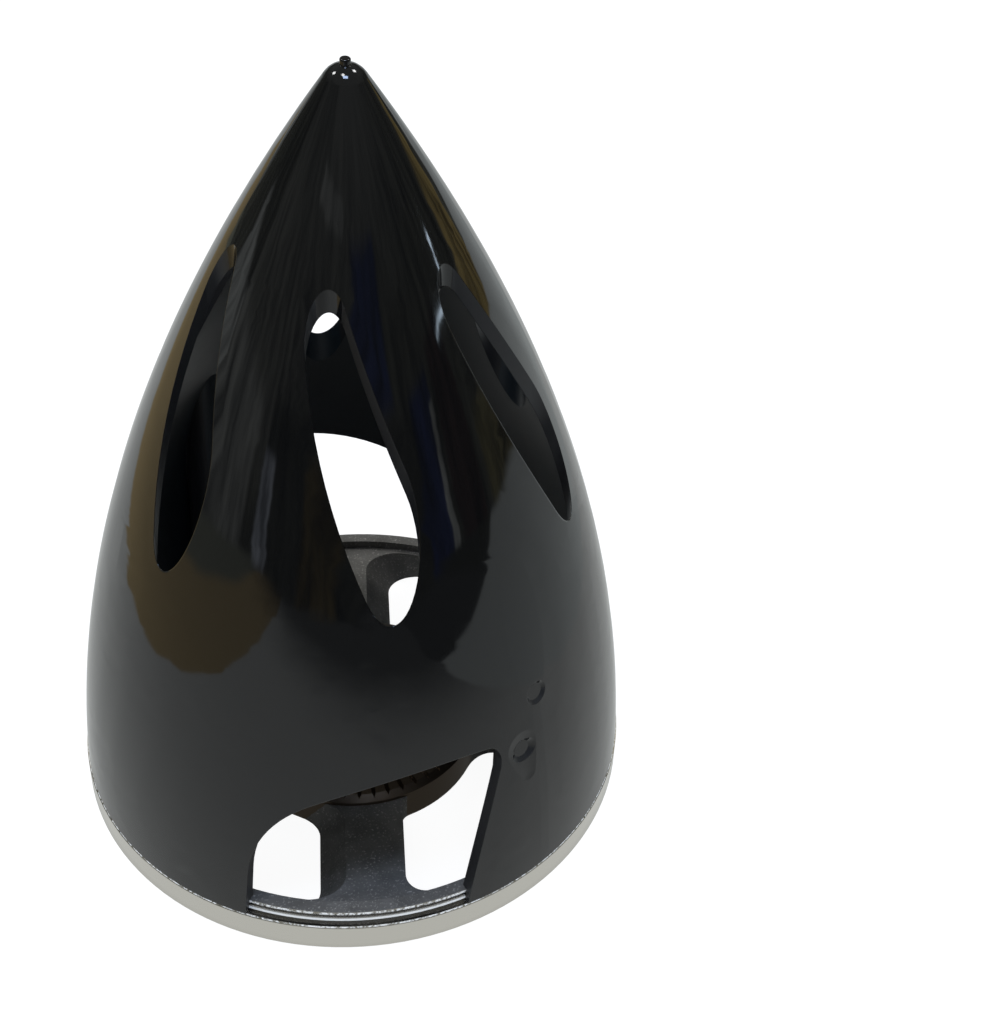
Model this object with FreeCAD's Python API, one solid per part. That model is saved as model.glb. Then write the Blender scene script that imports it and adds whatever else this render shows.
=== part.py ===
import FreeCAD, Part
import math
import os

# Propeller spinner for a two-blade propeller: a thin pointed shell with six swirled air vents,
# seated on a cast and turned backplate and held by two screws from behind.
# Sizes are in millimetres. The origin is the middle of the backplate's rear face, +Z runs forward
# along the shaft to the nose, and the blades leave through the shell along -Y and +Y.

# Backplate
plate_radius = 41.25
plate_thickness = 4.8
ledge_width = 1.45
spigot_width = 2.1
spigot_height = 1.4
spigot_foot_bevel = 0.35
edge_break = 0.25
hub_radius = 19.2
hub_rise = 1.2
hub_bevel_width = 1.1
hub_bevel_rise = 0.7
bore_radius = 6.0
groove_count = 52
groove_width = 0.62
groove_depth = 0.34
groove_inner_radius = 9.5

# Windows between the four spokes
spoke_count = 4
window_margin = 0.9
spoke_straight_side = 6.4
spoke_ramp_top = 2.2
spoke_ramp_foot = 6.0
window_rim_corner_straight = 3.0
window_rim_corner_ramp = 4.5
window_hub_corner_straight = 1.8
window_hub_corner_ramp = 3.5

# Shell
spinner_length = 119.5
shell_inset = 0.15
base_taper = 2.75
nose_radius = 3.2
nose_half_angle = 32.2
base_wall = 2.3
vent_wall = 1.65
nose_wall = 1.8
spigot_gap = 0.15
gate_radius = 0.7
gate_height = 0.8
gate_round = 0.25

# Swirled vents, drawn in plan: a small round end near the axis and a large one further out
vent_count = 6
vent_start_angle = 20.2
vent_sweep = 17.8
vent_small_end_place = 17.6
vent_small_end_radius = 2.7
vent_large_end_place = 27.7
vent_large_end_radius = 4.3
vent_bulging_side_radius = 18.0
vent_hollow_side_radius = 27.9

# Blade cut-outs, seen from the front of the opening
blade_count = 2
cut_foot_left = 17.9
cut_foot_right = 16.25
cut_left_lean = 3.7
cut_right_lean = 11.6
cut_right_radius = 110.0
cut_height = 28.35
cut_crown_place = 15.25
cut_crown_radius = 52.1
cut_shoulder_radius = 18.0
cut_corner_radius = 3.0

# Screw posts in the shell, and the lugs that carry them in the plate
post_inset = 3.7
post_angle = -49.0
post_radius = 3.2
post_web = 1.6
lug_radius = 4.2
screw_radius = 1.5
screw_length = 14.0
screw_head_radius = 2.75
screw_head_height = 1.9
screw_head_sunk = 0.3
screw_head_round = 0.6
recess_reach = 1.65
recess_width = 1.0
recess_depth = 1.15
screw_clearance = 0.15
head_clearance = 0.35
pilot_clearance = 0.03
pilot_depth_spare = 1.5

# Shallow marks that the posts leave in the shell's outer face: two round dimples with sloping
# sides, the lower one inside an egg-shaped sink. Angles are from the post, heights from the foot.
dimple_radius = 1.85
dimple_floor_radius = 1.3
dimple_depth = 0.4
upper_dimple_angle = 0.6
upper_dimple_height = 32.5
lower_dimple_angle = -4.5
lower_dimple_height = 24.3
sink_angle = -4.9
sink_height = 24.9
sink_radius = 3.0
sink_depth = 0.3
sink_tip_angle = -3.7
sink_tip_height = 19.9
sink_tip_radius = 1.3
sink_tip_depth = 0.16

# How far a cutter reaches past what it cuts
overcut = 5.0

# Worked out from the sizes above
floor_z = plate_thickness
spigot_top_z = floor_z + spigot_height
hub_top_z = floor_z + hub_rise
spigot_outer_radius = plate_radius - ledge_width
spigot_inner_radius = spigot_outer_radius - spigot_width
window_outer_radius = spigot_inner_radius - window_margin
post_place = spigot_inner_radius - post_inset
shell_foot_radius = plate_radius - shell_inset
shell_step_z = spigot_top_z + spigot_gap
shell_step_radius = spigot_outer_radius + spigot_gap

AXIS = FreeCAD.Vector(0, 0, 1)
ORIGIN = FreeCAD.Vector(0, 0, 0)


def point(x, y, z):
    return FreeCAD.Vector(x, y, z)


def turned(shape, degrees):
    copy = shape.copy()
    copy.rotate(ORIGIN, AXIS, degrees)
    return copy


def place_on_circle(radius, degrees, z=0.0):
    angle = math.radians(degrees)
    return point(radius * math.cos(angle), radius * math.sin(angle), z)


def around(shape, count, start=0.0):
    return [turned(shape, start + 360.0 * k / count) for k in range(count)]


def revolved(edges):
    face = Part.Face(Part.Wire(edges))
    return face.revolve(ORIGIN, AXIS, 360)


def line(a, b):
    return Part.LineSegment(a, b).toShape()


def polyline(points):
    return [line(a, b) for a, b in zip(points, points[1:])]


# The shell's outer profile is one parabola from the foot to the nose, rounded at its tip
def profile_poles():
    taper = math.tan(math.radians(base_taper))
    half = math.radians(nose_half_angle)
    foot = point(shell_foot_radius, 0, floor_z)
    nose_centre_z = spinner_length - nose_radius
    cheek = point(nose_radius * math.cos(half), 0, nose_centre_z + nose_radius * math.sin(half))
    slope = math.tan(half)
    middle_z = (cheek.x - foot.x + slope * cheek.z - taper * foot.z) / (slope - taper)
    middle = point(foot.x - taper * (middle_z - foot.z), 0, middle_z)
    return foot, middle, cheek


# The wall is set inward from the same three poles, thinner at the vents than at the foot
def inner_poles():
    foot, middle, cheek = profile_poles()
    half = math.radians(nose_half_angle)
    mean = (math.radians(base_taper) + half) / 2
    middle_wall = 2 * vent_wall - (base_wall + nose_wall) / 2
    inner_foot = point(foot.x - base_wall, 0, shell_step_z)
    inner_middle = middle - point(math.cos(mean), 0, math.sin(mean)) * middle_wall
    inner_cheek = cheek - point(math.cos(half), 0, math.sin(half)) * nose_wall
    return inner_foot, inner_middle, inner_cheek


def parabola(poles):
    curve = Part.BezierCurve()
    curve.setPoles(list(poles))
    return curve


# Where the outer face stands at a height above its foot, and the way that it looks there
def outer_face_at(angle, height):
    foot, middle, cheek = profile_poles()
    a = foot.z - 2 * middle.z + cheek.z
    b = 2 * (middle.z - foot.z)
    share = height / b if abs(a) < 1e-9 else (math.sqrt(b * b + 4 * a * height) - b) / (2 * a)
    curve = parabola((foot, middle, cheek))
    ahead = curve.tangent(share)[0]
    turn = FreeCAD.Rotation(AXIS, angle)
    return turn.multVec(curve.value(share)), turn.multVec(point(ahead.z, 0, -ahead.x))


def nose_arc(cheek, radius):
    centre_z = spinner_length - nose_radius
    tip = point(0, 0, centre_z + radius)
    rise = math.atan2(cheek.z - centre_z, cheek.x)
    half_way = (rise + math.pi / 2) / 2
    middle = point(radius * math.cos(half_way), 0, centre_z + radius * math.sin(half_way))
    return Part.Arc(cheek, middle, tip).toShape()


def shell_skin():
    outer = profile_poles()
    inner = inner_poles()
    tip = point(0, 0, spinner_length)
    inner_tip = point(0, 0, spinner_length - nose_wall)
    edges = [parabola(outer).toShape(), nose_arc(outer[2], nose_radius), line(tip, inner_tip),
             nose_arc(inner[2], nose_radius - nose_wall), parabola(inner).toShape()]
    relief = spigot_foot_bevel + spigot_gap
    edges += polyline([inner[0], point(shell_step_radius, 0, shell_step_z),
                       point(shell_step_radius, 0, floor_z + relief),
                       point(shell_step_radius + relief, 0, floor_z), outer[0]])
    return revolved(edges)


def filled_profile():
    outer = profile_poles()
    foot = point(0, 0, floor_z)
    tip = point(0, 0, spinner_length)
    edges = [parabola(outer).toShape(), nose_arc(outer[2], nose_radius)]
    edges += polyline([tip, foot, outer[0]])
    return revolved(edges)


# What is left of the moulding's gate, with its torn end rounded
def gate_nub():
    sunk = nose_wall / 2
    nub = Part.makeCylinder(gate_radius, gate_height + sunk, point(0, 0, spinner_length - sunk), AXIS)
    return nub.makeFillet(gate_round, [max(nub.Edges, key=lambda e: e.BoundBox.ZMin)])


# Centre of a circle whose distances to two given centres are known, on the left of the way between
def centre_from(a, b, from_a, from_b, upright):
    way = b - a
    span = way.Length
    along = (from_a ** 2 - from_b ** 2 + span ** 2) / (2 * span)
    across = math.sqrt(from_a ** 2 - along ** 2)
    ahead = way / span
    return a + ahead * along + upright.cross(ahead) * across


def on_circle_towards(centre, target, radius):
    return centre + (target - centre).normalize() * radius


def arc_about(centre, start, end, radius):
    middle = on_circle_towards(centre, (start + end) / 2, radius)
    return Part.Arc(start, middle, end).toShape()


# One vent: two round ends joined by a bulging flank and a hollow flank, all tangent
def vent_cutter():
    small = point(vent_small_end_place, 0, floor_z)
    large = place_on_circle(vent_large_end_place, vent_sweep, floor_z)
    bulge = centre_from(small, large, vent_bulging_side_radius - vent_small_end_radius,
                        vent_bulging_side_radius - vent_large_end_radius, AXIS)
    hollow = centre_from(small, large, vent_hollow_side_radius + vent_small_end_radius,
                         vent_hollow_side_radius + vent_large_end_radius, AXIS)
    small_bulge = on_circle_towards(small, small * 2 - bulge, vent_small_end_radius)
    large_bulge = on_circle_towards(large, large * 2 - bulge, vent_large_end_radius)
    small_hollow = on_circle_towards(small, hollow, vent_small_end_radius)
    large_hollow = on_circle_towards(large, hollow, vent_large_end_radius)
    small_tip = on_circle_towards(small, small * 2 - large, vent_small_end_radius)
    large_tip = on_circle_towards(large, large * 2 - small, vent_large_end_radius)
    outline = Part.Wire([
        arc_about(bulge, small_bulge, large_bulge, vent_bulging_side_radius),
        Part.Arc(large_bulge, large_tip, large_hollow).toShape(),
        arc_about(hollow, large_hollow, small_hollow, vent_hollow_side_radius),
        Part.Arc(small_hollow, small_tip, small_bulge).toShape()])
    return Part.Face(outline).extrude(point(0, 0, spinner_length))


def vents():
    return Part.makeCompound(around(vent_cutter(), vent_count, vent_start_angle))


# Centre of a circle that rests on a straight flank and touches a larger circle from inside
def centre_beside(foot, ahead, inward, radius, about, about_radius):
    start = foot + inward * radius
    back = start - about
    reach = about_radius - radius
    half = back.dot(ahead)
    return start + ahead * (math.sqrt(half ** 2 - back.dot(back) + reach ** 2) - half)


# Outline of a blade cut-out as drawn on the plane that touches the shell's foot:
# straight left flank, wide shoulder, crowned top, tight corner, gently hollow right flank
def cut_outline():
    lean = math.radians(cut_left_lean)
    left_foot = point(-cut_foot_left, 0, floor_z)
    left_ahead = point(math.sin(lean), 0, math.cos(lean))
    left_inward = point(math.cos(lean), 0, -math.sin(lean))
    lean = math.radians(cut_right_lean)
    right_foot = point(cut_foot_right, 0, floor_z)
    right_outward = point(math.cos(lean), 0, -math.sin(lean))
    right_ahead = point(math.sin(lean), 0, math.cos(lean))
    flank = right_foot + right_outward * cut_right_radius
    crown = point(cut_crown_place, 0, floor_z + cut_height - cut_crown_radius)
    shoulder = centre_beside(left_foot, left_ahead, left_inward, cut_shoulder_radius,
                             crown, cut_crown_radius)
    corner = centre_from(flank, crown, cut_right_radius + cut_corner_radius,
                         cut_crown_radius - cut_corner_radius, point(0, 1, 0))
    left_top = shoulder - left_inward * cut_shoulder_radius
    crown_left = on_circle_towards(crown, shoulder, cut_crown_radius)
    crown_right = on_circle_towards(crown, corner, cut_crown_radius)
    right_top = on_circle_towards(flank, corner, cut_right_radius)
    left_low = left_foot - left_ahead * overcut
    right_low = right_foot - right_ahead * overcut
    return Part.Wire([
        line(left_low, left_top),
        arc_about(shoulder, left_top, crown_left, cut_shoulder_radius),
        arc_about(crown, crown_left, crown_right, cut_crown_radius),
        arc_about(corner, crown_right, right_top, cut_corner_radius),
        arc_about(flank, right_top, right_foot, cut_right_radius),
        line(right_foot, right_low), line(right_low, left_low)])


# The same outline on the plane y, narrower nearer the axis so that the flanks are radial
def cut_outline_at(y):
    placing = FreeCAD.Matrix()
    placing.scale(-y / shell_foot_radius, 1, 1)
    placing.move(point(0, y, 0))
    return cut_outline().transformGeometry(placing)


def blade_cutter():
    near = cut_outline_at(-plate_radius - overcut)
    far = cut_outline_at(-plate_radius / 2)
    return Part.makeLoft([near, far], True, True)


# Rounds the edge that joins two given points of a solid
def rounded(solid, a, b, radius):
    middle = Part.Vertex((a + b) / 2)
    edge = min(solid.Edges, key=lambda e: e.distToShape(middle)[0])
    return solid.makeFillet(radius, [edge])


# A screw post stands on its lug and runs up into the wall, tied to it by a web
def screw_post():
    at = place_on_circle(post_place, post_angle, floor_z)
    height = spinner_length - floor_z
    post = Part.makeCylinder(post_radius, height, at, AXIS)
    reach = plate_radius - post_place
    web = Part.makeBox(reach, post_web, height, point(post_place, -post_web / 2, shell_step_z))
    return post.fuse(turned(web, post_angle))


def pilot_hole():
    at = place_on_circle(post_place, post_angle, floor_z - overcut)
    depth = screw_length - (floor_z - seat_z()) + pilot_depth_spare
    return Part.makeCylinder(screw_radius + pilot_clearance, depth + overcut, at, AXIS)


# Height of the face that the screw's head bears on, inside the plate
def seat_z():
    return screw_head_height + screw_head_sunk


# A round dimple square to the outer face, with a flat floor and sloping sides
def dimple(angle, height, sunk):
    face, out = outer_face_at(post_angle + angle, height)
    slope = (dimple_radius - dimple_floor_radius) / dimple_depth
    rise = dimple_depth + sunk + overcut
    floor = face - out * (dimple_depth + sunk)
    return Part.makeCone(dimple_floor_radius, dimple_floor_radius + slope * rise, rise, floor, out)


# A ball that makes a hollow as wide and as deep as said in the outer face
def hollow_ball(angle, height, radius, depth):
    face, out = outer_face_at(post_angle + angle, height)
    ball_radius = (radius ** 2 + depth ** 2) / (2 * depth)
    return face + out * (ball_radius - depth), ball_radius


# Two balls and the cone that touches both, turned as one form
def egg(a, radius_a, b, radius_b):
    ahead = (b - a).normalize()
    lean = (radius_a - radius_b) / (b - a).Length
    out = ahead * lean + ahead.cross(AXIS).normalize() * math.sqrt(1 - lean ** 2)
    edges = [arc_about(a, a - ahead * radius_a, a + out * radius_a, radius_a),
             line(a + out * radius_a, b + out * radius_b),
             arc_about(b, b + out * radius_b, b + ahead * radius_b, radius_b),
             line(b + ahead * radius_b, a - ahead * radius_a)]
    return Part.Face(Part.Wire(edges)).revolve(a, ahead, 360)


def post_marks():
    wide_end = hollow_ball(sink_angle, sink_height, sink_radius, sink_depth)
    narrow_end = hollow_ball(sink_tip_angle, sink_tip_height, sink_tip_radius, sink_tip_depth)
    return [egg(*wide_end, *narrow_end),
            dimple(upper_dimple_angle, upper_dimple_height, 0),
            dimple(lower_dimple_angle, lower_dimple_height, sink_depth)]


# The ring that the plate's spigot needs to itself
def spigot_room():
    height = shell_step_z - floor_z
    start = point(0, 0, floor_z)
    disc = Part.makeCylinder(shell_step_radius, height, start, AXIS)
    return disc.cut(Part.makeCylinder(spigot_inner_radius - spigot_gap, height, start, AXIS))


def spinner_shell():
    skin = shell_skin().cut(Part.makeCompound(around(blade_cutter(), blade_count)))
    posts = Part.makeCompound(around(screw_post(), blade_count))
    posts = posts.common(filled_profile()).cut(spigot_room())
    body = skin.fuse(posts.Solids).fuse(gate_nub())
    body = body.cut(vents())
    for cutter in [pilot_hole()] + post_marks():
        body = body.cut(Part.makeCompound(around(cutter, blade_count)))
    return body.removeSplitter()


# The plate's turned form: rim, ledge, centring spigot, floor and raised hub
def plate_blank():
    e = edge_break
    section = [(bore_radius, 0), (plate_radius - e, 0), (plate_radius, e),
               (plate_radius, floor_z - e), (plate_radius - e, floor_z),
               (spigot_outer_radius + spigot_foot_bevel, floor_z),
               (spigot_outer_radius, floor_z + spigot_foot_bevel),
               (spigot_outer_radius, spigot_top_z - e), (spigot_outer_radius - e, spigot_top_z),
               (spigot_inner_radius, spigot_top_z), (spigot_inner_radius, floor_z),
               (hub_radius, floor_z), (hub_radius, hub_top_z - hub_bevel_rise),
               (hub_radius - hub_bevel_width, hub_top_z), (bore_radius, hub_top_z), (bore_radius, 0)]
    return revolved(polyline([point(r, 0, z) for r, z in section]))


# One window: a piece of the ring between hub and rim, with one upright side and one ramped side
def window_cutter():
    low = -overcut
    high = spigot_top_z + overcut
    ring = Part.makeCylinder(window_outer_radius, high - low, point(0, 0, low), AXIS)
    ring = ring.cut(Part.makeCylinder(hub_radius, high - low, point(0, 0, low), AXIS))
    slope = (spoke_ramp_top - spoke_ramp_foot) / floor_z
    ramp = [point(spoke_straight_side, -plate_radius, low),
            point(spoke_straight_side, -spoke_ramp_foot - slope * low, low),
            point(spoke_straight_side, -spoke_ramp_foot - slope * high, high),
            point(spoke_straight_side, -plate_radius, high)]
    block = Part.Face(Part.Wire(polyline(ramp + ramp[:1]))).extrude(point(plate_radius, 0, 0))
    window = ring.common(block)
    for radius, side, corner in (
            (window_outer_radius, "straight", window_rim_corner_straight),
            (hub_radius, "straight", window_hub_corner_straight),
            (window_outer_radius, "ramp", window_rim_corner_ramp),
            (hub_radius, "ramp", window_hub_corner_ramp)):
        foot = window_corner(radius, side, 0.0, slope)
        head = window_corner(radius, side, floor_z, slope)
        window = rounded(window, foot, head, corner)
    return window


def window_corner(radius, side, z, slope):
    if side == "straight":
        x = spoke_straight_side
        return point(x, -math.sqrt(radius ** 2 - x ** 2), z)
    y = spoke_ramp_foot + slope * z
    return point(math.sqrt(radius ** 2 - y ** 2), -y, z)


# One of the grooves that serrate the hub's face
def hub_groove():
    top = hub_top_z + groove_depth
    foot = point(groove_inner_radius, 0, hub_top_z - groove_depth)
    corners = [foot, point(groove_inner_radius, -groove_width, top),
               point(groove_inner_radius, groove_width, top), foot]
    return Part.Face(Part.Wire(polyline(corners))).extrude(point(hub_radius, 0, 0))


def lug():
    at = place_on_circle(post_place, post_angle)
    return Part.makeCylinder(lug_radius, floor_z, at, AXIS)


def lug_holes():
    at = place_on_circle(post_place, post_angle, -overcut)
    shank = Part.makeCylinder(screw_radius + screw_clearance, floor_z + 2 * overcut, at, AXIS)
    head = Part.makeCylinder(screw_head_radius + head_clearance, seat_z() + overcut, at, AXIS)
    return shank.fuse(head)


def backplate():
    plate = plate_blank().cut(Part.makeCompound(around(window_cutter(), spoke_count)))
    plate = plate.fuse(around(lug(), blade_count))
    plate = plate.cut(Part.makeCompound(around(lug_holes(), blade_count)))
    plate = plate.cut(Part.makeCompound(around(hub_groove(), groove_count)))
    return plate.removeSplitter()


# Pan-head screw, put in from the rear with its head sunk in the lug
def shell_screw():
    at = place_on_circle(post_place, post_angle, seat_z())
    shank = Part.makeCylinder(screw_radius, screw_length, at, AXIS)
    head = Part.makeCylinder(screw_head_radius, screw_head_height, at, -AXIS)
    head = head.makeFillet(screw_head_round, [min(head.Edges, key=lambda e: e.BoundBox.ZMax)])
    return shank.fuse(head).cut(cross_recess(at)).removeSplitter()


def cross_recess(at):
    low = at - AXIS * (screw_head_height + overcut)
    bars = []
    for x, y in ((recess_reach, recess_width / 2), (recess_width / 2, recess_reach)):
        bars.append(Part.makeBox(2 * x, 2 * y, recess_depth + overcut, low - point(x, y, 0)))
    return bars[0].fuse(bars[1])


def save(name, shape):
    shape.exportStep("parts/" + name + ".step")
    print(name, len(shape.Solids), shape.isValid(), round(shape.Volume, 1))


os.makedirs("parts", exist_ok=True)
save("spinner_shell", spinner_shell())
save("backplate", backplate())
save("shell_screws", Part.makeCompound(around(shell_screw(), blade_count)))
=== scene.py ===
import math

import bmesh
import bpy
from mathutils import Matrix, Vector


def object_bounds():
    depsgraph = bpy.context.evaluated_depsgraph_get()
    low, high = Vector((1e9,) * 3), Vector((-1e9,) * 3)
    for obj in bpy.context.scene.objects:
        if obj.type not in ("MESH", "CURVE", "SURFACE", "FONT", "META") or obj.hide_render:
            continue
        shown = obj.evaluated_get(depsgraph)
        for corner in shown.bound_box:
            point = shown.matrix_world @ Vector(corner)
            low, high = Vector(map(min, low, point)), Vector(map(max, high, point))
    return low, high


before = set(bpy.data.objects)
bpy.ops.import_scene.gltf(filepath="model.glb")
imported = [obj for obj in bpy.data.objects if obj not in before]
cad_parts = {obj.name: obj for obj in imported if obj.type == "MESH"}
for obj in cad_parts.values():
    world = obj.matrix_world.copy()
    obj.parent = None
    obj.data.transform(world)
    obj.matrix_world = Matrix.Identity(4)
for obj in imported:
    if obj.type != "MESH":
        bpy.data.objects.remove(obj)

CAD_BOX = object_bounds()
MM = 0.001

bl_info = {
    "name": "Propeller Spinner",
    "version": (1, 0, 0),
    "blender": (4, 5, 0),
    "location": "View3D > Sidebar > Spinner",
    "description": "Finishes, light and camera for a vented two-blade propeller spinner",
    "category": "Object",
}

# How squarely a face of the shell looks away from the axis, where 1 is straight out. Below
# CUT_FACING it is a face cut through the wall or an inner one, below INNER_FACING an inner one.
# Above NOSE_START the nose itself looks up the axis, so no face there counts as cut.
CUT_FACING = 0.75
INNER_FACING = -0.8
NOSE_START = 112 * MM

# Sizes of the plate that its finish follows, in metres.
RIM_RADIUS = CAD_BOX[1][0]
LEDGE_HEIGHT = 4.8 * MM
SPIGOT_RADIUS = 39.8 * MM
SPIGOT_TOP = 6.2 * MM

# Rings of the plate whose colour paints light or shade: RIM_EDGE_HIGHLIGHT, SPIGOT_EDGE_HIGHLIGHT,
# FOOT_LINE_HIGHLIGHT and
# FOOT_BEVEL_HIGHLIGHT are painted highlights on the turned edges and the spigot's foot, LEDGE_SHADE
# and UNDER_RIM_SHADE are painted shade. Each has its least radius, its greatest radius and how far
# these fade, and then the same for its height, in metres.
RIM_EDGE_HIGHLIGHT = (RIM_RADIUS - 0.23 * MM, RIM_RADIUS + 0.75 * MM, 0.03 * MM,
            LEDGE_HEIGHT - 0.14 * MM, LEDGE_HEIGHT + 0.20 * MM, 0.05 * MM)
SPIGOT_EDGE_HIGHLIGHT = (SPIGOT_RADIUS - 0.14 * MM, SPIGOT_RADIUS + 0.15 * MM, 0.04 * MM,
               SPIGOT_TOP - 0.35 * MM, SPIGOT_TOP + 0.80 * MM, 0.05 * MM)
FOOT_LINE_HIGHLIGHT = (SPIGOT_RADIUS + 0.03 * MM, SPIGOT_RADIUS + 0.25 * MM, 0.03 * MM,
             LEDGE_HEIGHT + 0.04 * MM, LEDGE_HEIGHT + 0.26 * MM, 0.03 * MM)
FOOT_BEVEL_HIGHLIGHT = (SPIGOT_RADIUS + 0.03 * MM, SPIGOT_RADIUS + 0.15 * MM, 0.02 * MM,
              LEDGE_HEIGHT + 0.20 * MM, SPIGOT_TOP, 0.05 * MM)
LEDGE_SHADE = (SPIGOT_RADIUS + 0.28 * MM, RIM_RADIUS - 0.27 * MM, 0.03 * MM,
         LEDGE_HEIGHT - 0.10 * MM, LEDGE_HEIGHT + 0.20 * MM, 0.03 * MM)
UNDER_RIM_SHADE = (RIM_RADIUS - 0.25 * MM, RIM_RADIUS + 0.75 * MM, 0.03 * MM,
             0.02 * MM, 0.14 * MM, 0.10 * MM)

# How bright the painted highlight on the bevel at the spigot's foot is, above its bright painted
# line, where 1 is as bright.
BEVEL_HIGHLIGHT_SHARE = 0.5

# How much of the metal under it the painted shade on the ledge and under the rim hides.
SHADE_COVER = 0.75

# The bench as the gloss mirrors it. Each patch has a low end, a high end and how far they fade,
# in metres: ACROSS from left to right, DEPTH from front to back, and BOWED from left to right
# with ends that bow by BENCH_BOW times the square of the depth.
BENCH_BOW = 0.8
BENCH_COLOUR = "#83867a"
BENCH_ACROSS = (-0.34, 0.36, 0.05)
BENCH_DEPTH = (-0.31, 0.50, 0.06)
WOOD_COLOUR = "#b5a27a"
WOOD_BOWED = (-0.21, -0.10, 0.03)
GREY_COLOUR = "#9c9f9e"
GREY_ACROSS = (0.09, 0.24, 0.04)
PAPER_BOWED = (-0.112, 0.40, 0.003)
PAPER_ACROSS = (-0.30, 0.097, 0.002)
SHEET_COLOUR = "#c4caca"
SHEET_ACROSS = (0.098, 0.40, 0.003)
SHEET_DEPTH = (-0.15, 0.50, 0.008)

# The shade over the front of the bench: the way in which it deepens, where it starts and ends
# along that way, in metres, and how much light it leaves.
SHADE_WAY = (0.48, -0.877, 0.0)
SHADE_START = 0.085
SHADE_END = 0.205
SHADE_LEFT = 0.2

# The shade under the plate: the radii where it starts to lift and is gone, and what it leaves.
CONTACT_START = 37 * MM
CONTACT_END = 42 * MM
CONTACT_LEFT = 0.22

# What the gloss mirrors of the room: colour, brightness, then the lowest and highest bearing
# and height, all in degrees, and how far the edges fade. A bearing of 0 is +X and 90 is +Y.
ROOM_SHAPES = (
    ("#6a6b66", 1.0, -180, -125, 4, 34, 8),
    ("#3c3d38", 1.0, -136, -56, -40, 5, 4),
    ("#898b88", 1.0, -180, -146, -40, 3, 3),
    ("#b9c0cc", 1.2, -138, -133, -9, 1, 1.2),
    ("#5d5236", 1.0, -114, -100, -12, 2, 3),
    ("#26305a", 1.2, -53, -41, -14, 7, 1.5),
    ("#b4b8b6", 1.0, -41.5, -39.5, -8, 5, 0.6),
    ("#3a2c2a", 1.0, -36, -22, -14, 8, 2),
    ("#6a6548", 1.0, -15, 2, -14, -4, 3),
    ("#2a3358", 1.2, -86, -66, 10, 21, 3),
    ("#9a9c99", 1.0, -128, -98, 24, 26, 1),
    ("#9c8a58", 1.1, 20, 38, -14, 1, 3),
    ("#b9bdbb", 1.1, 160, 180, -6, 2, 2),
    ("#c3c8c8", 1.0, 50, 130, -40, 0, 5),
    ("#d8ecff", 8.0, -26, 1, 6.7, 7.1, 0.15),
)

# The heights in degrees between which the room's clutter gives way to its plain ceiling.
CLUTTER_END = 14.0
CEILING_START = 36.0

# Soft lamps: name, place and size in metres, power in watts and colour. All look at LAMP_AIM.
LAMPS = (
    ("soft_left", (-0.63, 0.29, 0.84), (0.18, 0.18), 2.0, "#ffffff"),
    ("soft_top", (-0.154, -0.112, 1.10), (0.18, 0.18), 2.0, "#ffffff"),
    ("soft_right", (0.496, 0.387, 0.897), (0.18, 0.18), 2.0, "#ffffff"),
    ("soft_front", (0.0, -0.32, 1.10), (0.35, 0.2), 5.0, "#c2d8ff"),
)
LAMP_AIM = (0.0, 0.0, 0.05)

# The camera: place in metres, turn in degrees, and shift as a share of the picture's width.
CAMERA_PLACE = (-0.00149, -0.205766, 0.23283)
CAMERA_TURN = (50.1511, -4.7569, -7.6857)
CAMERA_SHIFT = (-0.13379, -0.06543)


def linear(hex_text):
    """Turns an sRGB hex colour such as #8a8d90 into linear red, green and blue."""
    parts = [int(hex_text[i:i + 2], 16) / 255 for i in (1, 3, 5)]
    return tuple(p / 12.92 if p <= 0.04045 else ((p + 0.055) / 1.055) ** 2.4 for p in parts)


def opaque(colour):
    return (*colour, 1.0)


def add(tree, kind, inputs=None, **settings):
    """Adds a node, sets its settings, and fills or links its inputs."""
    made = tree.nodes.new(kind)
    for name, value in settings.items():
        setattr(made, name, value)
    for key, value in (inputs or {}).items():
        if isinstance(value, bpy.types.NodeSocket):
            tree.links.new(value, made.inputs[key])
        else:
            made.inputs[key].default_value = value
    return made


def soft_window(tree, value, low, high, fade):
    """1 where value is between low and high, falling to 0 within fade outside them."""
    rise = add(tree, "ShaderNodeMapRange", {
        "Value": value, "From Min": low - fade, "From Max": low}, interpolation_type="SMOOTHSTEP")
    fall = add(tree, "ShaderNodeMapRange", {
        "Value": value, "From Min": high, "From Max": high + fade, "To Min": 1.0, "To Max": 0.0},
        interpolation_type="SMOOTHSTEP")
    return add(tree, "ShaderNodeMath", {
        0: rise.outputs["Result"], 1: fall.outputs["Result"]}, operation="MULTIPLY").outputs[0]


def ring(tree, radius, height, bounds):
    """1 on a ring round the axis, falling to 0 outside its radii and heights."""
    return add(tree, "ShaderNodeMath", {
        0: soft_window(tree, radius, *bounds[:3]), 1: soft_window(tree, height, *bounds[3:])},
        operation="MULTIPLY").outputs[0]


def lay(tree, under, colour, first, second):
    """Lays a colour over another where both soft windows are open."""
    where = add(tree, "ShaderNodeMath", {0: first, 1: second}, operation="MULTIPLY")
    return add(tree, "ShaderNodeMix", {
        "Factor": where.outputs[0], "A": under, "B": opaque(colour)},
        data_type="RGBA").outputs["Result"]


def new_material(name):
    material = bpy.data.materials.new(name)
    material.use_nodes = True
    material.node_tree.nodes.clear()
    return material, material.node_tree


def dress(node_name, material):
    """Gives a CAD node one material for all of its faces."""
    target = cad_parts[node_name]
    target.data.materials.clear()
    target.data.materials.append(material)


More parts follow.
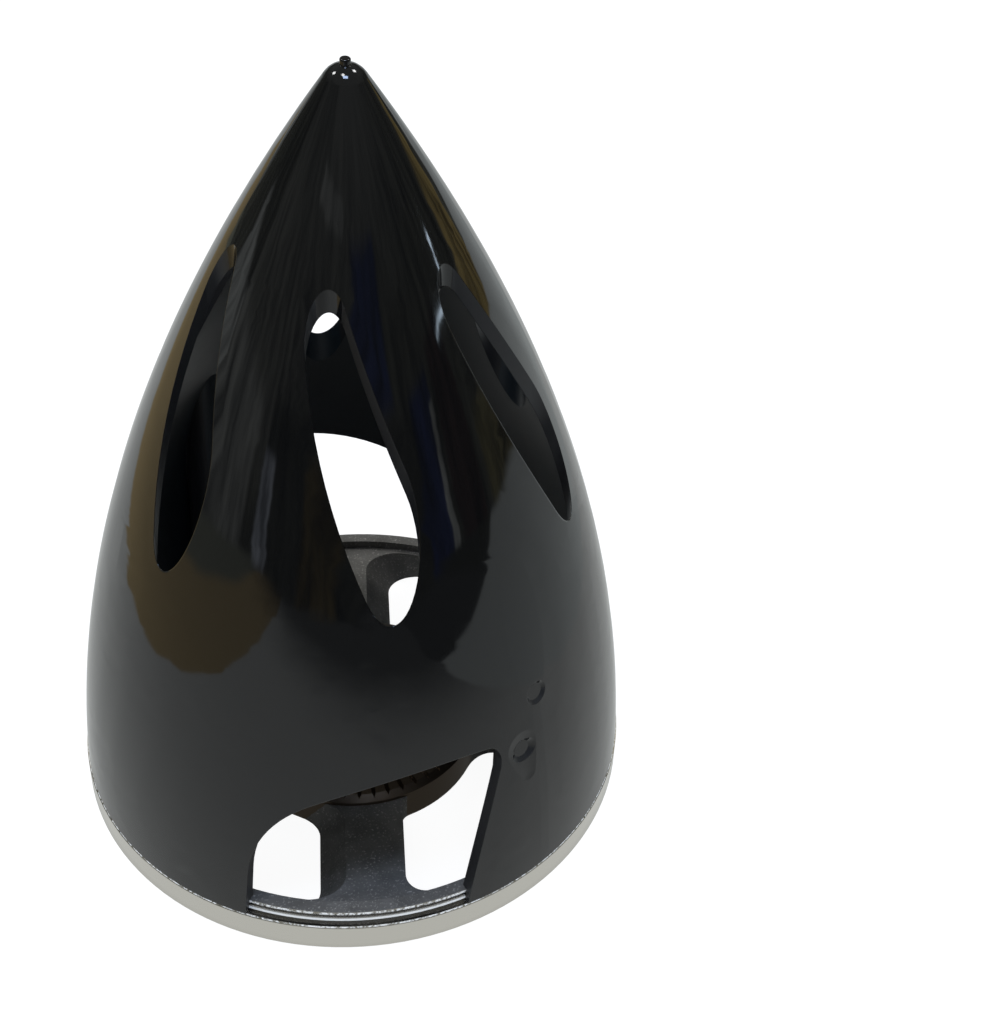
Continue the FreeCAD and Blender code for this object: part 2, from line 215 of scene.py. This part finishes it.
class ShellFinish(bpy.types.PropertyGroup):
    colour: bpy.props.FloatVectorProperty(
        name="Nylon colour", description="Colour of the moulded black shell",
        subtype="COLOR", size=3, min=0, max=1, default=linear("#0b0b0b"))
    cut_colour: bpy.props.FloatVectorProperty(
        name="Cut colour", description="Colour of the duller faces cut through the wall",
        subtype="COLOR", size=3, min=0, max=1, default=linear("#1a1a1b"))
    # The inner face's colour holds a painted blue tint of the light that falls in through the
    # vents.
    inner_colour_blue_lit: bpy.props.FloatVectorProperty(
        name="Inner colour", description="Colour of the shell's duller inner face",
        subtype="COLOR", size=3, min=0, max=1, default=linear("#151d22"))
    gloss_roughness: bpy.props.FloatProperty(
        name="Gloss roughness", description="How blurred the shell's reflections are",
        subtype="FACTOR", min=0, max=1, default=0.05)
    dull_roughness: bpy.props.FloatProperty(
        name="Dull roughness", description="How blurred they are on the cut and inner faces",
        subtype="FACTOR", min=0, max=1, default=0.42)
    edge_radius: bpy.props.FloatProperty(
        name="Edge radius", description="How round the moulding's edges catch the light, in metres",
        subtype="DISTANCE", unit="LENGTH", default=0.15 * MM)
    ripple_width: bpy.props.FloatProperty(
        name="Ripple width", description="Spacing of the moulding's faint flow ripple, in metres",
        subtype="DISTANCE", unit="LENGTH", default=9 * MM)
    ripple_height: bpy.props.FloatProperty(
        name="Ripple height", description="Height of the moulding's faint flow ripple, in metres",
        subtype="DISTANCE", unit="LENGTH", default=0.02 * MM)


class PlateFinish(bpy.types.PropertyGroup):
    cast_colour: bpy.props.FloatVectorProperty(
        name="Cast colour", description="Colour of the rough cast floor, spokes and windows",
        subtype="COLOR", size=3, min=0, max=1, default=linear("#8a8884"))
    cast_dark: bpy.props.FloatVectorProperty(
        name="Cast dark colour", description="Colour of the darker blotches in the casting",
        subtype="COLOR", size=3, min=0, max=1, default=linear("#5a5854"))
    turned_colour: bpy.props.FloatVectorProperty(
        name="Turned colour", description="Colour of the turned rim, ledge and spigot",
        subtype="COLOR", size=3, min=0, max=1, default=linear("#dedad2"))
    hub_colour: bpy.props.FloatVectorProperty(
        name="Hub colour", description="Colour of the turned and serrated hub",
        subtype="COLOR", size=3, min=0, max=1, default=linear("#6a5e50"))
    edge_highlight_colour: bpy.props.FloatVectorProperty(
        name="Painted edge highlight colour", description="Colour of the painted highlight on the nicked edges of the turned faces",
        subtype="COLOR", size=3, min=0, max=1, default=linear("#fffaf0"))
    painted_shade_colour: bpy.props.FloatVectorProperty(
        name="Painted shade colour", description="Colour of the painted shade on the ledge and under the rim",
        subtype="COLOR", size=3, min=0, max=1, default=linear("#2a2b30"))
    cast_roughness: bpy.props.FloatProperty(
        name="Cast roughness", description="How blurred the cast faces' reflections are",
        subtype="FACTOR", min=0, max=1, default=0.5)
    turned_roughness: bpy.props.FloatProperty(
        name="Turned roughness", description="How blurred the turned faces' reflections are",
        subtype="FACTOR", min=0, max=1, default=0.17)
    hub_roughness: bpy.props.FloatProperty(
        name="Hub roughness", description="How much rougher the hub is than the turned rim",
        subtype="FACTOR", min=0, max=1, default=0.15)
    hub_radius: bpy.props.FloatProperty(
        name="Hub radius", description="Radius within which the hub is turned, in metres",
        subtype="DISTANCE", unit="LENGTH", default=19.25 * MM)
    turned_from: bpy.props.FloatProperty(
        name="Turned from", description="Radius beyond which the plate is turned, in metres",
        subtype="DISTANCE", unit="LENGTH", default=39.6 * MM)
    grain_width: bpy.props.FloatProperty(
        name="Casting grain", description="Width of the casting's grains, in metres",
        subtype="DISTANCE", unit="LENGTH", default=0.35 * MM)
    grain_height: bpy.props.FloatProperty(
        name="Grain height", description="Height of the casting's grains, in metres",
        subtype="DISTANCE", unit="LENGTH", default=0.05 * MM)
    tool_feed: bpy.props.FloatProperty(
        name="Tool feed", description="Spacing of the lathe tool's marks, in metres",
        subtype="DISTANCE", unit="LENGTH", default=0.22 * MM)
    tool_depth: bpy.props.FloatProperty(
        name="Tool depth", description="Depth of the lathe tool's marks, in metres",
        subtype="DISTANCE", unit="LENGTH", default=0.006 * MM)
    nick_width: bpy.props.FloatProperty(
        name="Nick width", description="Width of the nicks along the turned edges, in metres",
        subtype="DISTANCE", unit="LENGTH", default=0.45 * MM)


class ScrewFinish(bpy.types.PropertyGroup):
    colour: bpy.props.FloatVectorProperty(
        name="Screw colour", description="Colour of the zinc plated screws",
        subtype="COLOR", size=3, min=0, max=1, default=linear("#b9bcc0"))
    cloud_width: bpy.props.FloatProperty(
        name="Cloud width", description="Width of the plating's cloudy patches, in metres",
        subtype="DISTANCE", unit="LENGTH", default=0.8 * MM)


class StageSettings(bpy.types.PropertyGroup):
    floor_colour: bpy.props.FloatVectorProperty(
        name="Floor colour", description="Colour of the pale floor",
        subtype="COLOR", size=3, min=0, max=1, default=linear("#f4f4f4"))
    floor_radius: bpy.props.FloatProperty(
        name="Floor radius", description="How far the floor reaches, in metres",
        subtype="DISTANCE", unit="LENGTH", default=4.0)
    floor_seen: bpy.props.FloatVectorProperty(
        name="Floor seen", description="Colour of the floor where it is seen, under its glow",
        subtype="COLOR", size=3, min=0, max=1, default=linear("#6a6a6a"))
    floor_glow: bpy.props.FloatProperty(
        name="Floor glow", description="Brightness that keeps the floor white where it is seen",
        subtype="FACTOR", min=0, max=1, default=0.94)
    paper_mirrored: bpy.props.FloatVectorProperty(
        name="Paper mirrored", description="Colour of the pale paper as gloss and metal mirror it",
        subtype="COLOR", size=3, min=0, max=1, default=linear("#c9cccb"))
    room_light: bpy.props.FloatVectorProperty(
        name="Room light", description="Colour and brightness of the room's soft light",
        subtype="COLOR", size=3, min=0, max=1, default=linear("#bcc4ce"))
    room_mirrored: bpy.props.FloatVectorProperty(
        name="Room mirrored", description="Colour of the dim room as gloss and metal mirror it",
        subtype="COLOR", size=3, min=0, max=1, default=linear("#50514a"))
    ceiling_mirrored: bpy.props.FloatVectorProperty(
        name="Ceiling mirrored", description="Colour of the ceiling as gloss and metal mirror it",
        subtype="COLOR", size=3, min=0, max=1, default=linear("#868783"))
    focal_length: bpy.props.FloatProperty(
        name="Focal length", description="Focal length of the camera, in millimetres",
        unit="CAMERA", default=66.76)


def black_nylon(finish):
    """Injection moulded glass-filled nylon, polished in the mould.

    The eye sees a near-black body under a hard gloss that mirrors the room. A faint flow ripple
    from the moulding bends the mirrored lines, and the edges are round enough to catch the
    light. The inner face, from the unpolished half of the mould, and the faces cut through the
    wall are duller and a little paler. The inner face's colour also carries a painted blue tint
    of the bluish light that falls in through the vents.
    """
    material, tree = new_material("BlackMouldedNylon")
    coords = add(tree, "ShaderNodeTexCoord").outputs
    outward = add(tree, "ShaderNodeVectorMath", {
        0: coords["Object"], 1: (1.0, 1.0, 0.0)}, operation="MULTIPLY").outputs["Vector"]
    outward = add(tree, "ShaderNodeVectorMath", {0: outward},
                  operation="NORMALIZE").outputs["Vector"]
    facing = add(tree, "ShaderNodeVectorMath", {
        0: outward, 1: coords["Normal"]}, operation="DOT_PRODUCT").outputs["Value"]
    inner = add(tree, "ShaderNodeMath", {
        0: facing, 1: INNER_FACING}, operation="LESS_THAN").outputs[0]
    cut = add(tree, "ShaderNodeMath", {0: facing, 1: CUT_FACING}, operation="LESS_THAN").outputs[0]
    height = add(tree, "ShaderNodeSeparateXYZ", {"Vector": coords["Object"]}).outputs["Z"]
    below_nose = add(tree, "ShaderNodeMath", {0: height, 1: NOSE_START}, operation="LESS_THAN")
    dull = add(tree, "ShaderNodeMath", {
        0: cut, 1: below_nose.outputs[0]}, operation="MULTIPLY").outputs[0]
    ripple = add(tree, "ShaderNodeTexNoise", {
        "Vector": coords["Object"], "Scale": 1 / finish.ripple_width, "Detail": 1.5,
        "Roughness": 0.4})
    edge = add(tree, "ShaderNodeBevel", {"Radius": finish.edge_radius}, samples=4)
    bump = add(tree, "ShaderNodeBump", {
        "Height": ripple.outputs["Fac"], "Distance": finish.ripple_height, "Strength": 0.5,
        "Normal": edge.outputs["Normal"]})
    tone = add(tree, "ShaderNodeMix", {
        "Factor": dull, "A": opaque(finish.colour), "B": opaque(finish.cut_colour)},
        data_type="RGBA").outputs["Result"]
    tone = add(tree, "ShaderNodeMix", {
        "Factor": inner, "A": tone, "B": opaque(finish.inner_colour_blue_lit)}, data_type="RGBA")
    rough = add(tree, "ShaderNodeMapRange", {
        "Value": dull, "To Min": finish.gloss_roughness, "To Max": finish.dull_roughness})
    skin = add(tree, "ShaderNodeBsdfPrincipled", {
        "Base Color": tone.outputs["Result"], "Roughness": rough.outputs["Result"],
        "IOR": 1.5, "Normal": bump.outputs["Normal"]})
    add(tree, "ShaderNodeOutputMaterial", {"Surface": skin.outputs["BSDF"]})
    return material


def painted_edge_highlights(tree, finish, place, radius, height):
    """Painted highlights on the plate's turned edges, broken where use has nicked them, and on the
    bevel at the spigot's foot.
    """
    nicks = add(tree, "ShaderNodeTexNoise", {
        "Vector": place, "Scale": 1 / finish.nick_width, "Detail": 2.0})
    nicks = add(tree, "ShaderNodeMapRange", {
        "Value": nicks.outputs["Fac"], "From Min": 0.36, "From Max": 0.58})
    edges = add(tree, "ShaderNodeMath", {
        0: ring(tree, radius, height, RIM_EDGE_HIGHLIGHT), 1: ring(tree, radius, height, SPIGOT_EDGE_HIGHLIGHT)},
        operation="MAXIMUM")
    nicked = add(tree, "ShaderNodeMath", {
        0: edges.outputs[0], 1: nicks.outputs["Result"]}, operation="MULTIPLY")
    bevel = add(tree, "ShaderNodeMath", {
        0: ring(tree, radius, height, FOOT_BEVEL_HIGHLIGHT), 1: BEVEL_HIGHLIGHT_SHARE}, operation="MULTIPLY")
    foot = add(tree, "ShaderNodeMath", {
        0: bevel.outputs[0], 1: ring(tree, radius, height, FOOT_LINE_HIGHLIGHT)}, operation="MAXIMUM")
    return add(tree, "ShaderNodeMath", {
        0: nicked.outputs[0], 1: foot.outputs[0]}, operation="MAXIMUM").outputs[0]


def painted_ledge_shade(tree, radius, height):
    """How much painted shade darkens the plate's ledge and the bevel under its rim."""
    shade_rings = add(tree, "ShaderNodeMath", {
        0: ring(tree, radius, height, LEDGE_SHADE), 1: ring(tree, radius, height, UNDER_RIM_SHADE)},
        operation="MAXIMUM")
    return add(tree, "ShaderNodeMath", {
        0: shade_rings.outputs[0], 1: SHADE_COVER}, operation="MULTIPLY").outputs[0]


def cast_and_turned(finish):
    """Die cast aluminium, left rough on the floor and spokes and turned on the rim and ledge.

    The cast faces are dull with small bright grains, partly painted glints, and broad darker
    blotches; the turned faces are bright with fine rings left by the lathe tool, painted highlights
    along their nicked edges and at the spigot's foot, and painted shade on the ledge and under the
    rim.
    """
    material, tree = new_material("CastAndTurnedAluminium")
    place = add(tree, "ShaderNodeTexCoord").outputs["Object"]
    parts = add(tree, "ShaderNodeSeparateXYZ", {"Vector": place}).outputs
    height = parts["Z"]
    flat = add(tree, "ShaderNodeCombineXYZ", {"X": parts["X"], "Y": parts["Y"], "Z": 0.0})
    radius = add(tree, "ShaderNodeVectorMath", {
        0: flat.outputs["Vector"]}, operation="LENGTH").outputs["Value"]
    hub = add(tree, "ShaderNodeMath", {
        0: radius, 1: finish.hub_radius}, operation="LESS_THAN").outputs[0]
    turned = add(tree, "ShaderNodeMath", {
        0: radius, 1: finish.turned_from}, operation="GREATER_THAN").outputs[0]
    turned = add(tree, "ShaderNodeMath", {0: turned, 1: hub}, operation="MAXIMUM").outputs[0]
    grain = add(tree, "ShaderNodeTexNoise", {
        "Vector": place, "Scale": 1 / finish.grain_width, "Detail": 3.0,
        "Roughness": 0.6}).outputs["Fac"]
    blotch = add(tree, "ShaderNodeTexNoise", {
        "Vector": place, "Scale": 1 / (8 * finish.grain_width), "Detail": 3.0}).outputs["Fac"]
    # Small bright grains, painted partly as glints of light on the casting.
    bright_grain_and_glint = add(tree, "ShaderNodeMapRange", {
        "Value": grain, "From Min": 0.58, "From Max": 0.8, "To Max": 0.8}).outputs["Result"]
    along = add(tree, "ShaderNodeMath", {0: radius, 1: height}, operation="ADD").outputs[0]
    rings = add(tree, "ShaderNodeTexNoise", {
        "W": along, "Scale": 1 / finish.tool_feed, "Detail": 2.0}, noise_dimensions="1D")
    # Painted highlights along the turned edges and at the spigot's foot.
    edge_highlight = painted_edge_highlights(tree, finish, place, radius, height)

    tone = add(tree, "ShaderNodeMix", {
        "Factor": blotch, "A": opaque(finish.cast_dark), "B": opaque(finish.cast_colour)},
        data_type="RGBA").outputs["Result"]
    # The last layer paints shade on the ledge and under the rim.
    for factor, colour in ((bright_grain_and_glint, finish.turned_colour), (turned, finish.turned_colour),
                           (hub, finish.hub_colour), (edge_highlight, finish.edge_highlight_colour),
                           (painted_ledge_shade(tree, radius, height), finish.painted_shade_colour)):
        tone = add(tree, "ShaderNodeMix", {
            "Factor": factor, "A": tone, "B": opaque(colour)},
            data_type="RGBA").outputs["Result"]

    relief = add(tree, "ShaderNodeMix", {"Factor": turned, "A": grain, "B": rings.outputs["Fac"]})
    depth = add(tree, "ShaderNodeMapRange", {
        "Value": turned, "To Min": finish.grain_height, "To Max": finish.tool_depth})
    bump = add(tree, "ShaderNodeBump", {
        "Height": relief.outputs["Result"], "Distance": depth.outputs["Result"], "Strength": 1.0})
    rough = add(tree, "ShaderNodeMapRange", {
        "Value": turned, "To Min": finish.cast_roughness, "To Max": finish.turned_roughness})
    rough = add(tree, "ShaderNodeMath", {
        0: hub, 1: finish.hub_roughness, 2: rough.outputs["Result"]}, operation="MULTIPLY_ADD")
    bare = add(tree, "ShaderNodeMapRange", {"Value": turned, "To Min": 0.65, "To Max": 1.0})
    # Where a highlight is painted the metal turns matt, so its near-white colour shows.
    bare = add(tree, "ShaderNodeMath", {
        0: edge_highlight, 1: -0.8, 2: bare.outputs["Result"]}, operation="MULTIPLY_ADD")
    metal = add(tree, "ShaderNodeBsdfPrincipled", {
        "Base Color": tone, "Metallic": bare.outputs[0], "Roughness": rough.outputs[0],
        "Normal": bump.outputs["Normal"]})
    add(tree, "ShaderNodeOutputMaterial", {"Surface": metal.outputs["BSDF"]})
    return material


def zinc_steel(finish):
    """Cold headed steel with bright zinc plate, faintly cloudy as plating is."""
    material, tree = new_material("ZincPlatedSteel")
    place = add(tree, "ShaderNodeTexCoord").outputs["Object"]
    cloud = add(tree, "ShaderNodeTexNoise", {
        "Vector": place, "Scale": 1 / finish.cloud_width, "Detail": 2.0})
    rough = add(tree, "ShaderNodeMapRange", {
        "Value": cloud.outputs["Fac"], "To Min": 0.22, "To Max": 0.4})
    metal = add(tree, "ShaderNodeBsdfPrincipled", {
        "Base Color": opaque(finish.colour), "Metallic": 1.0,
        "Roughness": rough.outputs["Result"]})
    add(tree, "ShaderNodeOutputMaterial", {"Surface": metal.outputs["BSDF"]})
    return material


class SPINNER_OT_shell(bpy.types.Operator):
    """Finishes the moulded shell in gloss black"""
    bl_idname = "spinner.shell"
    bl_label = "Shell"

    def execute(self, context):
        dress("spinner_shell", black_nylon(context.scene.spinner_shell_finish))
        return {"FINISHED"}


class SPINNER_OT_backplate(bpy.types.Operator):
    """Finishes the backplate in cast and turned aluminium"""
    bl_idname = "spinner.backplate"
    bl_label = "Backplate"

    def execute(self, context):
        dress("backplate", cast_and_turned(context.scene.spinner_plate_finish))
        return {"FINISHED"}


class SPINNER_OT_screws(bpy.types.Operator):
    """Finishes the screws that hold the shell"""
    bl_idname = "spinner.screws"
    bl_label = "Screws"

    def execute(self, context):
        dress("shell_screws", zinc_steel(context.scene.spinner_screw_finish))
        return {"FINISHED"}


def mirrored_bench(tree, stage):
    """The studio bench as gloss mirrors it, and where it ends and the room shows instead."""
    spot = add(tree, "ShaderNodeTexCoord").outputs["Object"]
    place = add(tree, "ShaderNodeSeparateXYZ", {"Vector": spot}).outputs
    bow = add(tree, "ShaderNodeMath", {0: place["Y"], 1: place["Y"]}, operation="MULTIPLY")
    bowed = add(tree, "ShaderNodeMath", {
        0: bow.outputs[0], 1: BENCH_BOW, 2: place["X"]}, operation="MULTIPLY_ADD").outputs[0]
    deep = soft_window(tree, place["Y"], *BENCH_DEPTH)
    whole = add(tree, "ShaderNodeMath", {
        0: deep, 1: soft_window(tree, place["X"], *BENCH_ACROSS)}, operation="MULTIPLY")
    tone = opaque(linear(BENCH_COLOUR))
    tone = lay(tree, tone, linear(WOOD_COLOUR), soft_window(tree, bowed, *WOOD_BOWED), deep)
    tone = lay(tree, tone, linear(GREY_COLOUR), soft_window(tree, place["X"], *GREY_ACROSS), deep)
    tone = lay(tree, tone, stage.paper_mirrored, soft_window(tree, bowed, *PAPER_BOWED),
               soft_window(tree, place["X"], *PAPER_ACROSS))
    slant = add(tree, "ShaderNodeVectorMath", {
        0: spot, 1: SHADE_WAY}, operation="DOT_PRODUCT").outputs["Value"]
    shade = add(tree, "ShaderNodeMapRange", {
        "Value": slant, "From Min": SHADE_START, "From Max": SHADE_END, "To Min": 1.0,
        "To Max": SHADE_LEFT}, interpolation_type="SMOOTHSTEP")
    tone = add(tree, "ShaderNodeMix", {
        "Factor": 1.0, "A": tone, "B": shade.outputs["Result"]},
        data_type="RGBA", blend_type="MULTIPLY").outputs["Result"]
    tone = lay(tree, tone, linear(SHEET_COLOUR), soft_window(tree, place["X"], *SHEET_ACROSS),
               soft_window(tree, place["Y"], *SHEET_DEPTH))
    away = add(tree, "ShaderNodeVectorMath", {0: spot}, operation="LENGTH").outputs["Value"]
    contact = add(tree, "ShaderNodeMapRange", {
        "Value": away, "From Min": CONTACT_START, "From Max": CONTACT_END,
        "To Min": CONTACT_LEFT})
    tone = add(tree, "ShaderNodeMix", {
        "Factor": 1.0, "A": tone, "B": contact.outputs["Result"]},
        data_type="RGBA", blend_type="MULTIPLY").outputs["Result"]
    return tone, whole.outputs[0]


def white_floor(stage):
    """Matt white paper, kept white where it is seen, with the object's soft shadow on it.

    Where it is seen it is a darker paper with a glow that makes up the rest. Gloss and metal
    mirror the bench in its place, and past the bench they look through it to the room.
    """
    material, tree = new_material("WhitePaper")
    path = add(tree, "ShaderNodeLightPath").outputs
    seen = add(tree, "ShaderNodeMath", {
        0: path["Is Camera Ray"], 1: path["Is Transmission Ray"]}, operation="MAXIMUM").outputs[0]
    paper = add(tree, "ShaderNodeMix", {
        "Factor": seen, "A": opaque(stage.floor_colour), "B": opaque(stage.floor_seen)},
        data_type="RGBA").outputs["Result"]
    paper = add(tree, "ShaderNodeMix", {
        "Factor": path["Is Glossy Ray"], "A": paper, "B": opaque(linear("#000000"))},
        data_type="RGBA").outputs["Result"]
    bench, bench_reach = mirrored_bench(tree, stage)
    glow = add(tree, "ShaderNodeMix", {
        "Factor": path["Is Glossy Ray"], "A": opaque(linear("#ffffff")), "B": bench},
        data_type="RGBA").outputs["Result"]
    strength = add(tree, "ShaderNodeMath", {
        0: seen, 1: stage.floor_glow, 2: path["Is Glossy Ray"]}, operation="MULTIPLY_ADD")
    matt = add(tree, "ShaderNodeBsdfDiffuse", {"Color": paper})
    light = add(tree, "ShaderNodeEmission", {"Color": glow, "Strength": strength.outputs[0]})
    both = add(tree, "ShaderNodeAddShader", {
        0: matt.outputs["BSDF"], 1: light.outputs["Emission"]})
    past = add(tree, "ShaderNodeMath", {0: 1.0, 1: bench_reach}, operation="SUBTRACT")
    past = add(tree, "ShaderNodeMath", {
        0: past.outputs[0], 1: path["Is Glossy Ray"]}, operation="MULTIPLY")
    clear = add(tree, "ShaderNodeBsdfTransparent")
    ended = add(tree, "ShaderNodeMixShader", {
        "Fac": past.outputs[0], 1: both.outputs["Shader"], 2: clear.outputs["BSDF"]})
    add(tree, "ShaderNodeOutputMaterial", {"Surface": ended.outputs["Shader"]})
    return material


def make_floor(stage):
    shape = bmesh.new()
    bmesh.ops.create_circle(shape, cap_ends=True, segments=96, radius=stage.floor_radius)
    mesh = bpy.data.meshes.new("studio_floor")
    shape.to_mesh(mesh)
    shape.free()
    floor = bpy.data.objects.new("studio_floor", mesh)
    bpy.context.scene.collection.objects.link(floor)
    mesh.materials.append(white_floor(stage))


def room_columns(tree, way, rise):
    """Uneven upright columns of light and dark, as a cluttered room gives, even higher up."""
    drawn = add(tree, "ShaderNodeVectorMath", {0: way, 1: (1.0, 1.0, 0.4)}, operation="MULTIPLY")
    columns = add(tree, "ShaderNodeTexNoise", {
        "Vector": drawn.outputs["Vector"], "Scale": 12.0, "Detail": 5.0, "Roughness": 0.62})
    columns = add(tree, "ShaderNodeMapRange", {
        "Value": columns.outputs["Fac"], "From Min": 0.35, "From Max": 0.65, "To Min": 0.35,
        "To Max": 1.75})
    return add(tree, "ShaderNodeMix", {
        "Factor": rise, "A": columns.outputs["Result"], "B": 1.0}).outputs["Result"]


def make_room(stage):
    """A plain soft room light. Gloss mirrors a dim room, and the camera sees white."""
    world = bpy.data.worlds.new("studio_room")
    world.use_nodes = True
    tree = world.node_tree
    tree.nodes.clear()
    path = add(tree, "ShaderNodeLightPath").outputs
    way = add(tree, "ShaderNodeTexCoord").outputs["Generated"]
    parts = add(tree, "ShaderNodeSeparateXYZ", {"Vector": way}).outputs
    bearing = add(tree, "ShaderNodeMath", {0: parts["Y"], 1: parts["X"]}, operation="ARCTAN2")
    bearing = add(tree, "ShaderNodeMath", {0: bearing.outputs[0]}, operation="DEGREES").outputs[0]
    height = add(tree, "ShaderNodeMath", {0: parts["Z"]}, operation="ARCSINE")
    height = add(tree, "ShaderNodeMath", {0: height.outputs[0]}, operation="DEGREES").outputs[0]
    rise = add(tree, "ShaderNodeMapRange", {
        "Value": height, "From Min": CLUTTER_END, "From Max": CEILING_START}).outputs["Result"]
    tone = add(tree, "ShaderNodeMix", {
        "Factor": rise, "A": opaque(stage.room_mirrored), "B": opaque(stage.ceiling_mirrored)},
        data_type="RGBA").outputs["Result"]
    for colour, brightness, left, right, low, high, fade in ROOM_SHAPES:
        bright = [brightness * part for part in linear(colour)]
        tone = lay(tree, tone, bright, soft_window(tree, bearing, left, right, fade),
                   soft_window(tree, height, low, high, fade))
    mirrored = add(tree, "ShaderNodeMix", {
        "Factor": 1.0, "A": tone, "B": room_columns(tree, way, rise)},
        data_type="RGBA", blend_type="MULTIPLY").outputs["Result"]
    lit = add(tree, "ShaderNodeMix", {
        "Factor": path["Is Glossy Ray"], "A": opaque(stage.room_light), "B": mirrored},
        data_type="RGBA").outputs["Result"]
    lit = add(tree, "ShaderNodeMix", {
        "Factor": path["Is Camera Ray"], "A": lit, "B": opaque(linear("#ffffff"))},
        data_type="RGBA").outputs["Result"]
    sky = add(tree, "ShaderNodeBackground", {"Color": lit})
    add(tree, "ShaderNodeOutputWorld", {"Surface": sky.outputs["Background"]})
    bpy.context.scene.world = world


def make_lamp(name, place, size, watts, tint):
    """A soft rectangular lamp that looks at the middle of the spinner."""
    data = bpy.data.lights.new(name, "AREA")
    data.shape = "RECTANGLE"
    data.size, data.size_y = size
    data.energy = watts
    data.color = linear(tint)
    lamp = bpy.data.objects.new(name, data)
    lamp.location = place
    lamp.rotation_mode = "QUATERNION"
    lamp.rotation_quaternion = (Vector(LAMP_AIM) - Vector(place)).to_track_quat("-Z", "Y")
    bpy.context.scene.collection.objects.link(lamp)


def make_camera(stage):
    data = bpy.data.cameras.new("studio_camera")
    data.lens = stage.focal_length
    data.sensor_width = 36.0
    data.shift_x, data.shift_y = CAMERA_SHIFT
    data.clip_start = 0.01
    data.clip_end = 50.0
    camera = bpy.data.objects.new("studio_camera", data)
    camera.location = CAMERA_PLACE
    camera.rotation_euler = [math.radians(angle) for angle in CAMERA_TURN]
    bpy.context.scene.collection.objects.link(camera)
    bpy.context.scene.camera = camera


class SPINNER_OT_stage(bpy.types.Operator):
    """Adds the pale floor, the soft studio light and the camera"""
    bl_idname = "spinner.stage"
    bl_label = "Stage"

    def execute(self, context):
        stage = context.scene.spinner_stage
        make_floor(stage)
        make_room(stage)
        for lamp in LAMPS:
            make_lamp(*lamp)
        make_camera(stage)
        context.scene.view_settings.view_transform = "Standard"
        return {"FINISHED"}


class SPINNER_PT_panel(bpy.types.Panel):
    """Lists the spinner's finishes and its stage"""
    bl_idname = "SPINNER_PT_panel"
    bl_label = "Propeller Spinner"
    bl_space_type = "VIEW_3D"
    bl_region_type = "UI"
    bl_category = "Spinner"

    def draw(self, context):
        for owner, group, operator in SECTIONS:
            settings = getattr(context.scene, owner)
            box = self.layout.box()
            for name in group.__annotations__:
                box.prop(settings, name)
            box.operator(operator.bl_idname)


# Where the scene keeps each group of settings, the group, and the operator that uses it.
SECTIONS = (
    ("spinner_shell_finish", ShellFinish, SPINNER_OT_shell),
    ("spinner_plate_finish", PlateFinish, SPINNER_OT_backplate),
    ("spinner_screw_finish", ScrewFinish, SPINNER_OT_screws),
    ("spinner_stage", StageSettings, SPINNER_OT_stage),
)


def register():
    for owner, group, operator in SECTIONS:
        bpy.utils.register_class(group)
        setattr(bpy.types.Scene, owner, bpy.props.PointerProperty(type=group))
        bpy.utils.register_class(operator)
    bpy.utils.register_class(SPINNER_PT_panel)


def unregister():
    bpy.utils.unregister_class(SPINNER_PT_panel)
    for owner, group, operator in reversed(SECTIONS):
        bpy.utils.unregister_class(operator)
        delattr(bpy.types.Scene, owner)
        bpy.utils.unregister_class(group)


def main():
    register()
    bpy.ops.spinner.shell()
    bpy.ops.spinner.backplate()
    bpy.ops.spinner.screws()
    bpy.ops.spinner.stage()


if __name__ == "__main__":
    main()
